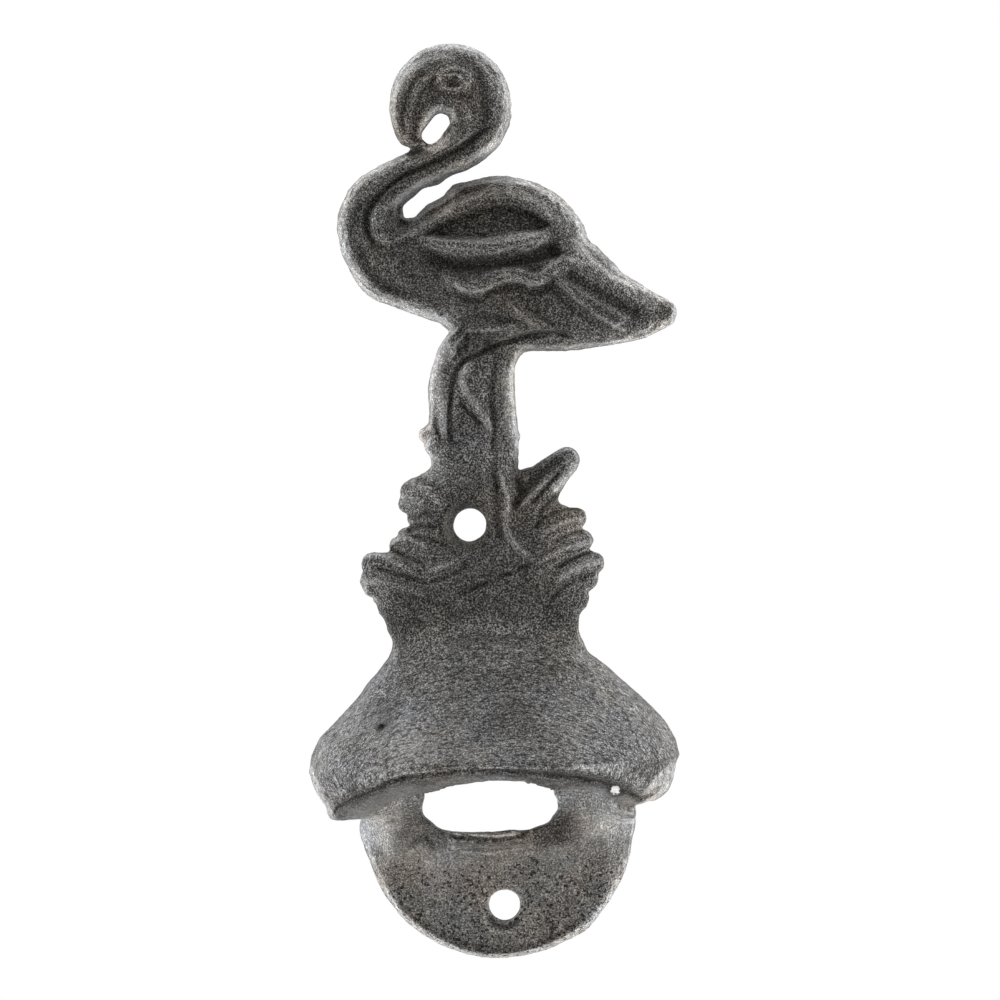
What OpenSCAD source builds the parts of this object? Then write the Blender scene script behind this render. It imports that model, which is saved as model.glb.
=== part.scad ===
// Wall-mounted bottle opener cast in iron: a wading bird stands on a grassy ground above a cap hood.
// Frame: x to the right, z up, the wall is the plane y = 0 and the front faces -y.
// The origin lies on the axis of the upper screw hole, in the wall plane.

/* [Screw holes] */
// Diameter of the upper screw hole
upper_hole_d = 6.2; // [4.5:0.1:7]
// Diameter of the lower screw hole
lower_hole_d = 5.9; // [4.5:0.1:7]
// Drop from the upper screw hole to the lower one
hole_drop = 72; // [68:0.5:75]
// Sideways step from the upper screw hole to the lower one
hole_step = 6.6; // [2:0.2:9]
// Width of the sunk ring round each hole's mouth
sink_w = 0.9; // [0.4:0.1:1.5]
// Depth of the sunk ring
sink_t = 0.8; // [0.4:0.1:1.5]

/* [Lower plate] */
// Thickness of the plate and of the ground behind the grass
plate_t = 5; // [4:0.25:6]
// Radius of the plate's round lower end
plate_r = 25.6; // [24:0.2:27]
// Sideways place of the plate's middle line
plate_x = 5.5; // [4:0.1:6.5]
// Fall from the centre of the plate's round end to the lower screw hole
plate_fall = 15.4; // [14:0.1:17]
// Rounding of the plate's front edge
plate_edge = 1.6; // [0.6:0.2:3]

/* [Hood] */
// Drop from the upper hole to the crease where the hood leaves the ground
crease_drop = 21; // [19.5:0.5:22.5]
// Height of the hood from the crease to the middle of its rim
hood_h = 24.2; // [22:0.2:27]
// Sideways place of the hood's middle line
hood_x = 3.6; // [2.8:0.1:5]
// Width of the hood at the crease
crease_w = 35.6; // [32:0.4:38]
// Width of the hood at its widest
hood_w = 70.4; // [64:0.4:73]
// Thickness of the hood at the crease
crease_t = 6.2; // [5.6:0.2:8]
// Reach of the rim from the wall
hood_reach = 27; // [24:0.5:30]
// Thickness of the hood at the middle of its rim, front to back
rim_t = 3.8; // [3:0.2:6]
// Thickness of the hood's side walls
side_t = 5.5; // [4:0.5:8]
// Angle at which the rim slopes back down to the plate
rim_tilt = 30; // [24:1:34]
// Drop of the wing tips below the middle of the rim
tip_drop = 8.8; // [6:0.2:10]
// How far each side draws in from the widest line to the wing tip
tip_inset = 4.4; // [2:0.2:6]
// Lean of the hood, in degrees
hood_lean = 2.5; // [0:0.25:3]

/* [Slot and tooth] */
// Width of the slot behind the hood
slot_w = 25.6; // [22:0.4:28]
// Height of the slot
slot_h = 16; // [13:0.5:18]
// Drop from the upper hole to the slot's lower edge
slot_drop = 58.3; // [57.5:0.1:60]
// Rounding of the slot's corners
slot_r = 6.2; // [3:0.2:6.4]
// Sideways place of the slot and the tooth
slot_x = 3.8; // [3:0.2:5]
// Width of the tooth under the slot
tooth_w = 16; // [12:0.5:20]
// Height of the tooth
tooth_h = 3.6; // [2.6:0.2:4.6]
// How far the tooth stands out of the plate
tooth_out = 3.2; // [2:0.2:4.5]
// How far the tooth stands up over the slot's edge
tooth_up = 0.4; // [0:0.1:1]

/* [Cheeks] */
// Width of each cheek on the plate's flank
cheek_w = 8; // [5:0.5:10]
// How far each cheek runs down past the plate's centre
cheek_foot = 5.5; // [3:0.5:8]
// How far each cheek stands out of the plate under the hood
cheek_out = 6; // [3:0.5:9]

/* [Ground] */
// Reach of the plain ground to the left of the upper hole
ground_left = 8.5; // [7.5:0.25:9.5]
// Reach of the plain ground to the right of the upper hole
ground_right = 14; // [13:0.25:15]
// Height of the plain ground above the upper hole
ground_h = 10.5; // [9.5:0.25:11.5]
// Relief of the grass at its roots
grass_crown = 6.6; // [5.8:0.2:8]
// Relief of the grass at its tips
grass_tip = 4.4; // [3.4:0.2:5.4]
// Relief of the tall leaf
leaf_crown = 5.6; // [4.6:0.2:7]

/* [Bird] */
// Length of the legs from the ground to the belly
leg_h = 22.4; // [20:0.2:26]
// Relief of the legs
leg_crown = 6.6; // [5.6:0.2:8]
// Thickness of the web between the legs
web_t = 4.6; // [3.6:0.2:5.4]
// Relief of the body at its fullest
body_crown = 10; // [8.5:0.25:12]
// Relief of the tail's tip
tail_crown = 4.5; // [3.6:0.1:6]
// Relief of the neck
neck_crown = 7.6; // [6:0.2:9]
// Radius of the round that the head and the bill make
head_r = 11.5; // [10.8:0.1:12.2]
// Half width of the gap between bill and neck
gap_r = 1.75; // [1.2:0.05:1.9]
// Relief of the head
head_crown = 8.6; // [7:0.2:10]
// Relief of the bill
bill_crown = 6.2; // [5:0.2:7.5]
// How far the feather ridges stand proud of the body
feather_rise = 0.9; // [0.4:0.1:1.6]
// Straight height of every moulded edge before it rounds over
edge_t = 2.4; // [1.6:0.2:3]

/* [Hidden] */

// Dark graphite of the bare casting and the paler grey of its rubbed forms
iron = "#4f4d4b";
iron_pale = "#6a6764";

// More than the casting's whole reach, for cutting zones and through cuts
far = 120;
// Sides of the round forms
dome_sides = 20;
fine_sides = 48;

// Heights that several pieces share
crease_z = -crease_drop;
rim_z = crease_z - hood_h;
plate_z = plate_fall - hole_drop;
slot_z = -slot_drop;
// The posts beside the slot start at the middle of its lower roundings
post_z = slot_z + 0.3 * slot_r;
belly_z = ground_h + leg_h;
// Above this height the back of the hood is its own, below it is the plate
plate_top_z = rim_z + 2;
// The cheeks start just under the middle of the rim
cheek_top_z = rim_z - 1;

// A smooth curve through hand-set stations; each station is a list of numbers of the same length
function blend(a, b, c, d, t) =
    0.5 * (2 * b + (c - a) * t + (2 * a - 5 * b + 4 * c - d) * t * t
           + (3 * b - a - 3 * c + d) * t * t * t);
function station(p, i) = p[max(0, min(len(p) - 1, i))];
function curve(p, n) = concat(
    [for (i = [0:len(p) - 2]) for (k = [0:n - 1])
        blend(station(p, i - 1), station(p, i), station(p, i + 1), station(p, i + 2), k / n)],
    [p[len(p) - 1]]);

// A coin with a domed face, its flat back on the wall; h is its whole relief
module dome(r, h, sides = dome_sides) {
    edge = min(edge_t, h * 0.6);
    rotate([90, 0, 0])
        rotate_extrude($fn = sides)
            polygon(concat([[0, 0], [r, 0]],
                [for (a = [0:22.5:90]) [r * cos(a), edge + (h - edge) * sin(a)]]));
}

// A moulded bar through stations of [x, z, half width, relief]
module bar(stations, steps = 2, sides = dome_sides) {
    pts = curve(stations, steps);
    for (i = [0:len(pts) - 2])
        hull()
            for (s = [pts[i], pts[i + 1]])
                translate([s[0], 0, s[1]]) dome(s[2], s[3], sides);
}

// A flat outline of [x, z] points, standing out of the wall from y0 to y1
module slab(outline, y0, y1) {
    translate([0, -y0, 0])
        rotate([90, 0, 0])
            linear_extrude(y1 - y0)
                polygon(outline);
}

// A box of the relief between two corners in [x, z], from the wall's back out to a given depth
module zone(low, high, depth = far) {
    translate([low[0], -depth, low[1]]) cube([high[0] - low[0], depth + far, high[1] - low[1]]);
}

// The whole relief depth above or below a parting line that runs from left to right
module above(line) {
    slab(concat(line, [[far, far], [-far, far]]), -far, far);
}

module below(line) {
    slab(concat(line, [[far, -far], [-far, -far]]), -far, far);
}

// Parting lines of the bird, set out from the belly: head over neck, and neck over body
function from_belly(line) = [for (p = line) [p[0], p[1] + belly_z]];
head_line = from_belly([[-far, 38.6], [-8, 38.8], [-5.7, 42], [-4, 43.6], [far, 44.6]]);
breast_line = from_belly([[-far, -40], [-23.6, 17], [-12.5, 25.9], [-6.4, 29.9], [0, 33.8], [far, 101]]);

// Stations of the bird from the belly up: [x, height over the belly, half width, share of the relief]
body_stations = [[-14.4, 17.1, 8.1, 0.72], [-8, 16.1, 9.4, 0.8], [-3.2, 16.5, 11.4, 0.88],
                 [2.4, 18.2, 14.3, 0.94], [6.6, 16.6, 16.6, 1], [13.3, 13.1, 13, 0.92],
                 [18.6, 10.2, 10, 0.82], [24.7, 8.6, 7.6, 0.68], [31.3, 7.4, 5.2, 0.54],
                 [36.4, 7.3, 2.8, 0.45]];
neck_stations = [[2.2, 48.4, 5], [1.9, 44.8, 5.9], [-0.2, 40.7, 5.4], [-4.2, 37.4, 4.3],
                 [-9, 34.7, 4], [-13.8, 32.3, 4.2], [-17.6, 29.3, 5], [-18.8, 25.1, 6.3],
                 [-18.2, 20.2, 6.4], [-15, 16.6, 7.4]];
head_at = [-3.7, 47];
eye_at = [-3.2, 50.2];
eye_half = [2, 1.5];
eye_rim_r = 0.7;
eye_rise = 0.4;
eye_root = 1.2;
gap_ends = [[-5.5, 43.5], [-7.4, 41]];
bill_stations = [[-8.6, 51.2, 4.2], [-11.3, 47.8, 3.8], [-12, 44.4, 3.1], [-11.4, 41.2, 2.5], [-10.8, 38, 2]];

// Share of the body's crown that runs out into the tail
function body_relief(share) = tail_crown + (body_crown - tail_crown) * (share - 0.45) / 0.55;

module body_form() {
    bar([for (s = body_stations) [s[0], s[1] + belly_z, s[2], body_relief(s[3])]], 1, 32);
}

module neck_form() {
    bar([for (s = neck_stations) [s[0], s[1] + belly_z, s[2], neck_crown]]);
}

module bill_form() {
    last = len(bill_stations) - 1;
    bar([for (i = [0:last]) let (s = bill_stations[i])
        [s[0], s[1] + belly_z, s[2], bill_crown + (head_crown - bill_crown) * (1 - i / last)]]);
}

// The see-through gap between the bill and the neck
module bill_gap() {
    rotate([90, 0, 0])
        linear_extrude(2 * far, center = true)
            hull()
                for (p = gap_ends)
                    translate([p[0], p[1] + belly_z]) circle(gap_r, $fn = 16);
}

// The raised oval rim of the eye
module eye_rim() {
    for (a = [0:45:315])
        hull()
            for (b = [a, a + 45])
                translate([eye_at[0] + eye_half[0] * cos(b), eye_root - head_crown,
                           eye_at[1] + belly_z + eye_half[1] * sin(b)])
                    dome(eye_rim_r, eye_root + eye_rise, 10);
}

module head() {
    color(iron)
        difference() {
            intersection() {
                union() {
                    translate([head_at[0], 0, head_at[1] + belly_z]) dome(head_r, head_crown, 36);
                    bill_form();
                    neck_form();
                    eye_rim();
                }
                above(head_line);
            }
            bill_gap();
        }
}

// The neck runs on into the breast, and the two share one skin
module breast_form() {
    neck_form();
    body_form();
}

module neck() {
    color(iron)
        difference() {
            intersection() {
                breast_form();
                above(breast_line);
                below(head_line);
            }
            bill_gap();
        }
}

module bird_body() {
    color(iron)
        intersection() {
            breast_form();
            below(breast_line);
        }
}

// Relief of the body at a point, from the domes along its middle line
body_line = curve(body_stations, 6);
function dome_at(s, x, z) =
    let (gap = norm([x - s[0], z - s[1]]) / s[2])
    gap < 1 ? edge_t + (body_relief(s[3]) - edge_t) * sqrt(1 - gap * gap) : 0;
function body_at(x, z) = max([for (s = body_line) dome_at(s, x, z)]);

// Feathers of the folded wing and tail: [x, height over the belly, half width]
upper_feather = [[-8.6, 21.4, 1.6], [-3, 20.2, 2.4], [3, 19.6, 2.6], [9, 20, 2.4], [14, 21.2, 1.6]];
lower_feather = [[-4.4, 14.4, 1.8], [0.6, 13.2, 2.8], [5, 14.6, 2.4], [8.8, 14.8, 2.4],
                 [12.6, 13.2, 2.8], [17.4, 15.2, 1.8]];
tail_feather = [[15.6, 14.2, 1.8], [22, 9.8, 2.2], [28.6, 6, 1.6]];
rump_feather = [[8, 9.4, 1.8], [12, 6, 2.2], [15.6, 3.8, 1.6]];

module wing() {
    color(iron_pale)
        difference() {
            intersection() {
                for (feather = [upper_feather, lower_feather, tail_feather, rump_feather])
                    bar([for (s = curve(feather, 2))
                        [s[0], s[1] + belly_z, s[2], body_at(s[0], s[1]) + feather_rise]], 1, 10);
                below(breast_line);
            }
            body_form();
        }
}

// Leg forms between ground and belly: [x, share of the leg's length, half width]
left_leg = [[-1.8, 1.16, 1.5], [-4.6, 1, 1.7], [-5.7, 0.76, 1.7], [-6, 0.5, 1.7],
            [-6, 0.25, 1.9], [-5.4, -0.05, 1.6]];
right_leg = [[6.6, 1.1, 1.9], [6.8, 0.78, 1.7], [6.8, 0.5, 1.7], [7.2, 0.28, 1.9], [7.2, -0.05, 2]];
bent_leg = [[1.6, 1.1, 1.8], [0.4, 0.86, 1.7], [1.4, 0.62, 1.7], [3.2, 0.4, 1.4], [3.6, 0.26, 1]];
knee_knots = [[-7.6, 0.3, 1.6], [8.2, 0.28, 1.2]];
knot_drop = 1.2;
// The standing leg runs on down the ground's face beside the upper hole: [x, z, half width]
standing_leg = [[2.8, ground_h + 5, 0.9], [4.1, ground_h, 1.2], [5.2, 5, 1.2], [6.2, 0, 1.1],
                [8.2, -4, 1.1], [10.8, -6, 0.8]];
// How far it stands proud of the other legs, and the ground's field that it crosses
shin_rise = 0.6;
shin_left = 2;
shin_right = 12;
shin_foot = -7;

// The web between the legs, from the ground up into the belly
web_outline = [[-6.2, ground_h], [7, ground_h], [7, belly_z + 3], [-3.4, belly_z + 3], [-6.2, belly_z - 2]];

function on_leg(s) = [s[0], ground_h + s[1] * leg_h, s[2], leg_crown];

module legs() {
    color(iron)
        difference() {
            union() {
                slab(web_outline, 0, web_t);
                for (leg = [left_leg, right_leg, bent_leg])
                    bar([for (s = leg) on_leg(s)], 2, 14);
                for (s = knee_knots)
                    translate([s[0], 0, ground_h + s[1] * leg_h]) dome(s[2], leg_crown - knot_drop, 14);
                bar([for (s = standing_leg) [s[0], s[1], s[2], leg_crown + shin_rise]], 2, 12);
            }
            body_form();
            zone([-far, -far], [far, ground_h], plate_t);
            zone([-far, -far], [-ground_left, ground_h]);
            below([[-far, ground_h], [shin_left, ground_h], [shin_left, shin_foot], [far, shin_foot]]);
            above([[-far, far], [ground_right, far], [ground_right, ground_h], [far, ground_h]]);
        }
}

// Blades of grass, each from root to tip: [root x, root z, root half width, tip x, tip z, tip half width]
left_blades = [[-4, 9, 3, -11.2, 6.3, 2.2], [-4, 4.6, 2.6, -11.8, 4, 1.9],
               [-4, 1.2, 2.4, -10.4, 1.2, 1.6], [-4, -0.6, 2.6, -12, -2.2, 1.8],
               [-4, -5, 3, -13.5, -4, 1.9], [-4, -9.4, 3.4, -18.4, -7.4, 2.3],
               [-4, -12.4, 3.8, -18.2, -10.6, 2.7], [-4, -15.2, 4.2, -15, -14.2, 3.3],
               [-4, -19, 4.2, -12.8, -18.8, 3.2], [-4, -22, 4, -11.6, -22, 3.2]];
right_blades = [[11, 1, 3, 20.2, 1.3, 2], [11, -2.8, 3, 21.3, -2.9, 2.1],
                [11, -6.6, 3, 23.4, -7.2, 2.2], [11, -10.4, 3.4, 21.8, -10, 2.7],
                [11, -14.2, 3.8, 19.3, -13.8, 3.4], [11, -18.8, 3.8, 17.5, -18.6, 3.5],
                [11, -22, 3.8, 17.4, -22, 3.4]];

// Under this height the ground's face is bare, and the blades start level with it
bare_z = -13;
// Blades that lie across the ground's face, beside and under the upper hole
face_blades = [[-12, -10.8, 2.1, -0.6, -4.9, 1.2], [-8.2, -12.6, 1.7, 3.6, -9.6, 1]];
face_tip = 0.8;
// Width of the clear land round the hole's sunk ring
hole_land = 0.8;

module tuft(blades) {
    for (b = blades) {
        root = b[1] < bare_z ? plate_t : grass_crown;
        middle = [0.5 * (b[0] + b[3]), 0.5 * (b[1] + b[4]), 0.5 * (b[2] + b[5]), root];
        bar([[b[0], b[1], b[2], root], middle, [b[3], b[4], b[5], grass_tip]], 1, 12);
    }
    for (b = face_blades)
        bar([[b[0], b[1], b[2], grass_crown], [b[3], b[4], b[5], plate_t + face_tip]], 2, 10);
}

// The ground's own block, and the clear land round the hole's mouth
module ground_room() {
    zone([-ground_left, crease_z - 1], [ground_right, ground_h + 1], plate_t);
    zone([-ground_left, crease_z - 1], [ground_right, bare_z]);
    rotate([90, 0, 0]) cylinder(d = upper_hole_d + 2 * (sink_w + hole_land), h = far, $fn = fine_sides);
}

// The tall leaf leaves the ground at this corner
leaf_left = 8.4;
leaf_foot = 4.2;
leaf_stations = [[8, 4.4, 4.3], [12.2, 6.4, 4.2], [15.8, 10, 3.2], [18.4, 12.4, 2.5]];

module left_tuft() {
    color(iron)
        intersection() {
            difference() {
                tuft(left_blades);
                ground_room();
            }
            zone([-far, crease_z], [shin_left, ground_h]);
        }
}

module right_tuft() {
    color(iron)
        intersection() {
            difference() {
                tuft(right_blades);
                ground_room();
            }
            zone([shin_right, crease_z], [far, leaf_foot]);
        }
}

module tall_leaf() {
    color(iron)
        intersection() {
            bar([for (s = leaf_stations) [s[0], s[1], s[2], leaf_crown]], 3, 16);
            zone([leaf_left, leaf_foot], [far, far]);
        }
}

// A drilled screw hole whose axis is y, with a sunk ring at its mouth on the plate's face
module screw_hole(d) {
    rotate([90, 0, 0]) {
        translate([0, 0, -1]) cylinder(d = d, h = plate_t + 2, $fn = fine_sides);
        translate([0, 0, plate_t - sink_t])
            cylinder(d1 = d, d2 = d + 2 * sink_w, h = sink_t, $fn = fine_sides);
    }
}

module ground_plate() {
    color(iron)
        difference() {
            slab([[-ground_left, crease_z], [ground_right, crease_z], [ground_right, leaf_foot],
                  [leaf_left, leaf_foot], [leaf_left, ground_h], [-ground_left, ground_h]], 0, plate_t);
            screw_hole(upper_hole_d);
        }
}

// Half round plan of the hood at one height, as points, for a plan of [z, half width, reach, back];
// a squareness of 2 gives an ellipse, and more fills out its corners
function half_round(p, squareness) = let (k = 2 / squareness) [for (a = [0:7.5:180])
    [sign(cos(a)) * p[1] * pow(abs(cos(a)), k), -p[3] - (p[2] - p[3]) * pow(sin(a), k), p[0]]];

// A loft through such plans at falling heights
module skirt(plans, squareness) {
    for (i = [0:len(plans) - 2]) {
        upper = half_round(plans[i], squareness);
        lower = half_round(plans[i + 1], squareness);
        n = len(upper);
        hull() polyhedron(concat(upper, lower), [[for (k = [0:n - 1]) k], [for (k = [0:n - 1]) n + k]]);
    }
}

// Flare of the hood at a share s of its height: half width and reach, each with its own swell
width_swell = 1.6;
reach_swell = 1.15;
function hood_half(s) = crease_w / 2 + (hood_w - crease_w) / 2 * pow(sin(90 * min(s, 1)), width_swell);
function hood_out(s) = crease_t + (hood_reach - crease_t) * pow(min(s, 1), reach_swell);

hood_steps = 8;
hood_square = 2.3;
// The hollow under the hood starts at this share of its height, narrower than the rest by a rounding
hollow_top = 0.36;
hollow_round = 8;
hollow_square = 1.9;
hood_plans = concat(
    [[3, hood_half(0), crease_t, 0]],
    [for (k = [0:hood_steps]) let (s = k / hood_steps) [-s * hood_h, hood_half(s), hood_out(s), 0]],
    [[-hood_h - tip_drop, hood_half(1) - tip_inset, hood_reach, 0]]);
hollow_plans = concat(
    [[-hollow_top * hood_h, hood_half(hollow_top) - side_t - hollow_round, plate_t + 0.5, plate_t]],
    [for (s = [hollow_top + 0.08:0.14:1.1])
        [-s * hood_h, hood_half(s) - side_t, hood_out(s) - rim_t, plate_t]],
    [[-hood_h - tip_drop, hood_half(1) - tip_inset - side_t, hood_reach - rim_t, plate_t],
     [-2 * hood_h, hood_half(1) - tip_inset - side_t, hood_reach - rim_t, plate_t]]);

module on_hood() {
    translate([hood_x, 0, crease_z]) rotate([0, -hood_lean, 0]) children();
}

// Everything under the sloping plane of the rim
module under_rim() {
    translate([0, -hood_reach, -hood_h])
        rotate([-rim_tilt, 0, 0])
            translate([-far, -far, -2 * far]) cube([2 * far, 2 * far, 2 * far]);
}

module slot_cut() {
    corner_x = slot_w / 2 - slot_r;
    translate([slot_x, 0, slot_z])
        rotate([90, 0, 0])
            linear_extrude(2 * (plate_t + 1), center = true) {
                translate([-slot_w / 2, slot_r]) square([slot_w, slot_h - 2 * slot_r]);
                translate([-corner_x, 0]) square([2 * corner_x, slot_h]);
                for (x = [-corner_x, corner_x], z = [slot_r, slot_h - slot_r])
                    translate([x, z]) circle(slot_r, $fn = fine_sides);
            }
}

// The upright part of the plate behind the hood's rim
plate_back = [[plate_x - plate_r, plate_z], [plate_x + plate_r, plate_z],
              [plate_x + plate_r, plate_top_z], [plate_x - plate_r, plate_top_z]];

module hood_form() {
    difference() {
        on_hood()
            difference() {
                skirt(hood_plans, hood_square);
                skirt(hollow_plans, hollow_square);
                under_rim();
            }
        zone([-far, crease_z], [far, far]);
        slab(plate_back, 0, plate_t);
    }
}

module cap_hood() {
    color(iron_pale)
        difference() {
            hood_form();
            slot_cut();
        }
}

// A fillet from the plate's flank up to the hood's side wall; side is -1 on the left and 1 on the right
module cheek(side) {
    wall = hood_x + side * (0.5 * hood_w - 0.5 * side_t);
    shoulder = wall - side * 0.3 * cheek_out;
    tip = wall - side * tip_inset;
    flank = plate_x + side * plate_r;
    inner = flank - side * cheek_w;
    foot_z = plate_z - cheek_foot;
    foot = plate_x + side * sqrt(plate_r * plate_r - cheek_foot * cheek_foot);
    difference() {
        hull()
            polyhedron([[wall, -plate_t, cheek_top_z], [inner, -plate_t, cheek_top_z],
                        [shoulder, -plate_t - cheek_out, cheek_top_z], [tip, -plate_t, plate_z],
                        [tip, -plate_t - 0.5 * cheek_out, plate_z], [foot, -plate_t, foot_z],
                        [inner, -plate_t, plate_z]],
                       [[0, 1, 2], [3, 4, 5, 6]]);
        hood_form();
        beyond_flank(side);
    }
}

// What lies outside the plate and under the hood's wing tips
module beyond_flank(side) {
    edge = plate_x + side * plate_r;
    tip_z = rim_z - tip_drop + side * 0.5 * hood_w * sin(hood_lean);
    zone([min(edge, side * far), -far], [max(edge, side * far), tip_z]);
}

module left_cheek() {
    color(iron) cheek(-1);
}

module right_cheek() {
    color(iron) cheek(1);
}

// The lip that catches the cap's edge: a wedge with a flat top along the slot's lower edge
module cap_tooth() {
    color(iron_pale)
        translate([slot_x - tooth_w / 2, 0, slot_z])
            rotate([90, 0, 90])
                linear_extrude(tooth_w)
                    polygon([[-plate_t, tooth_up], [-plate_t - 0.8 * tooth_out, tooth_up],
                             [-plate_t - tooth_out, tooth_up - 0.2 * tooth_h],
                             [-plate_t - tooth_out, tooth_up - 0.5 * tooth_h],
                             [-plate_t, tooth_up - tooth_h]]);
}

// The whole back plate under the hood, with the slot through it
module plate_form() {
    difference() {
        union() {
            slab(plate_back, 0, plate_t);
            translate([plate_x, 0, plate_z])
                rotate([90, 0, 0])
                    rotate_extrude(angle = 180, start = 180, $fn = 96) {
                        square([plate_r, plate_t - plate_edge]);
                        square([plate_r - plate_edge, plate_t]);
                        translate([plate_r - plate_edge, plate_t - plate_edge])
                            circle(plate_edge, $fn = fine_sides);
                    }
        }
        slot_cut();
    }
}

module left_post() {
    color(iron)
        difference() {
            plate_form();
            zone([slot_x, -far], [far, far]);
            zone([-far, -far], [far, post_z]);
        }
}

module right_post() {
    color(iron)
        difference() {
            plate_form();
            zone([-far, -far], [slot_x, far]);
            zone([-far, -far], [far, post_z]);
        }
}

module screw_plate() {
    color(iron)
        difference() {
            plate_form();
            zone([-far, post_z], [far, far]);
            translate([hole_step, 0, -hole_drop]) screw_hole(lower_hole_d);
        }
}

head();
neck();
bird_body();
wing();
legs();
left_tuft();
right_tuft();
tall_leaf();
ground_plate();
cap_hood();
left_cheek();
right_cheek();
left_post();
right_post();
cap_tooth();
screw_plate();
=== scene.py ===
"""A wall bottle opener cast in iron: a wading bird on a grassy ground above a flared cap hood.

Frame: x to the right, z up, the wall is the plane y = 0 and the front faces -y.
Points and sizes below are in millimetres, apart from the studio's; the meshes are in metres.
"""
import math
from types import SimpleNamespace

import bmesh
import bpy
import numpy as np
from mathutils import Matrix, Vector, noise


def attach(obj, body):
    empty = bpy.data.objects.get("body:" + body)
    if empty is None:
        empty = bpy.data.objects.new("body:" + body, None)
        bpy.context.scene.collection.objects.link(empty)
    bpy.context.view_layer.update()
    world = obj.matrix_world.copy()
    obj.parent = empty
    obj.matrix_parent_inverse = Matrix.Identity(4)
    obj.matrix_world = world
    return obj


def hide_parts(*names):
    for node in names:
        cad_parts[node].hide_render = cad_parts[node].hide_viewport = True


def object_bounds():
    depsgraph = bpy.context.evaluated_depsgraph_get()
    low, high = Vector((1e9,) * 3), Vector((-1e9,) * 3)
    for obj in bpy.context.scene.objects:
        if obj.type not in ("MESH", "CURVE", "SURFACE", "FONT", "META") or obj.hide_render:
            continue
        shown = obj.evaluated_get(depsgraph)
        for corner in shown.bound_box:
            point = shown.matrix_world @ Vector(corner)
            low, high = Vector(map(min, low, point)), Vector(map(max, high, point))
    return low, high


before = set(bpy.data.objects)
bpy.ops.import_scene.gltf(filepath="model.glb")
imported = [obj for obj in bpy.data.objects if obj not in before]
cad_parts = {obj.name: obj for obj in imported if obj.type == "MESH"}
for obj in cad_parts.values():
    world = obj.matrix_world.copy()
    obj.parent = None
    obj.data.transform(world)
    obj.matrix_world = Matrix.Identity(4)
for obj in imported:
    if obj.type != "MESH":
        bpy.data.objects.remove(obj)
cad_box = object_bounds()

MM = 0.001
# How fine the fused skin is, and how many triangles it keeps
SKIN_STEP = 0.32
MOST_TRIANGLES = 190_000
# Points closer than this, in metres, are one point
SAME_POINT = 1e-7

# Lines carved into the casting's front: points (x, z), half width, rise of the iron (below 0 cuts a groove),
# and tone (below 0 darker: soot and painted shade; above 0 paler: rubbing and painted light on lit ridges and
# bevels)
HEAD_LINES = [
    ([(-6.9, 86.1), (-10.1, 83.7), (-11.5, 80.8), (-12.5, 77.4), (-12.5, 74.1)], 0.6, -0.28, -0.42),
    ([(-5.7, 85.4), (-8.9, 83), (-10.5, 79.8), (-11.3, 76.5), (-11.3, 73.1)], 0.6, 0.35, 0.28),
    ([(-5, 81.3), (-7.9, 79.8), (-9.6, 77.4), (-10.3, 74.1), (-10.3, 72.6)], 0.6, -0.24, -0.31),
    ([(-13, 71.9), (-11.3, 70.6), (-8.4, 71.3)], 1.1, -1.05, -1.04),
    ([(-5, 80.7), (-2.1, 79.6), (-0.4, 76.7), (-1.1, 73.6), (-4, 70.9), (-7.9, 69), (-11.3, 67.8)], 1.2, 0.5, 0.39),
    ([(-9.7, 72.1), (-9, 75), (-7.2, 77.7), (-4.5, 78.6), (-3, 76.9), (-3.1, 74.1), (-5.5, 71.7),
      (-7.9, 70.9)], 1.3, -0.21, 0.88),
    ([(-3.4, 88.8), (0.4, 86.8), (2, 83.2), (2.8, 79.4), (2.5, 76), (0.9, 73.5)], 1.5, -0.28, -0.73),
    ([(-5, 87.6), (-8.9, 85.6), (-11.5, 82.2), (-13, 78.9), (-13.4, 75.5)], 0.9, -0.21, -0.52),
]
NECK_LINES = [
    ([(3.9, 75.5), (1.7, 73.8), (-1.1, 71.7), (-5, 69.7), (-8.9, 67.7), (-12.7, 65.8), (-15.9, 63.5),
      (-18, 61.1), (-19.4, 57.7), (-19.1, 54.8), (-17.5, 52.4)], 1.15, -1.05, -0.68),
    ([(4.6, 72.6), (-0.7, 69.3), (-5, 67.2), (-9.3, 64.8), (-13.1, 62.4), (-15.9, 60), (-17.3, 57.4),
      (-16.6, 54.3)], 1.2, 0.7, 0.3),
    ([(3, 69.5), (-1.1, 67.1), (-5, 65.4), (-8.9, 63.7), (-11.5, 61.8), (-13.4, 59.6),
      (-14.2, 57.4)], 0.9, -0.42, -0.38),
    ([(-16.1, 62.5), (-20.2, 60.1), (-21.6, 56.5), (-20.9, 52.4), (-18.3, 47.8), (-15.1, 45.2),
      (-11.3, 43.7)], 1.7, -0.35, -0.46),
    ([(-17.5, 55.3), (-15.4, 53.1), (-12.7, 54.2), (-9.3, 55.2)], 0.9, 0.5, 0.3),
    ([(-13.9, 57.4), (-11.5, 56.1)], 1.3, -0.35, -0.46),
]
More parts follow.
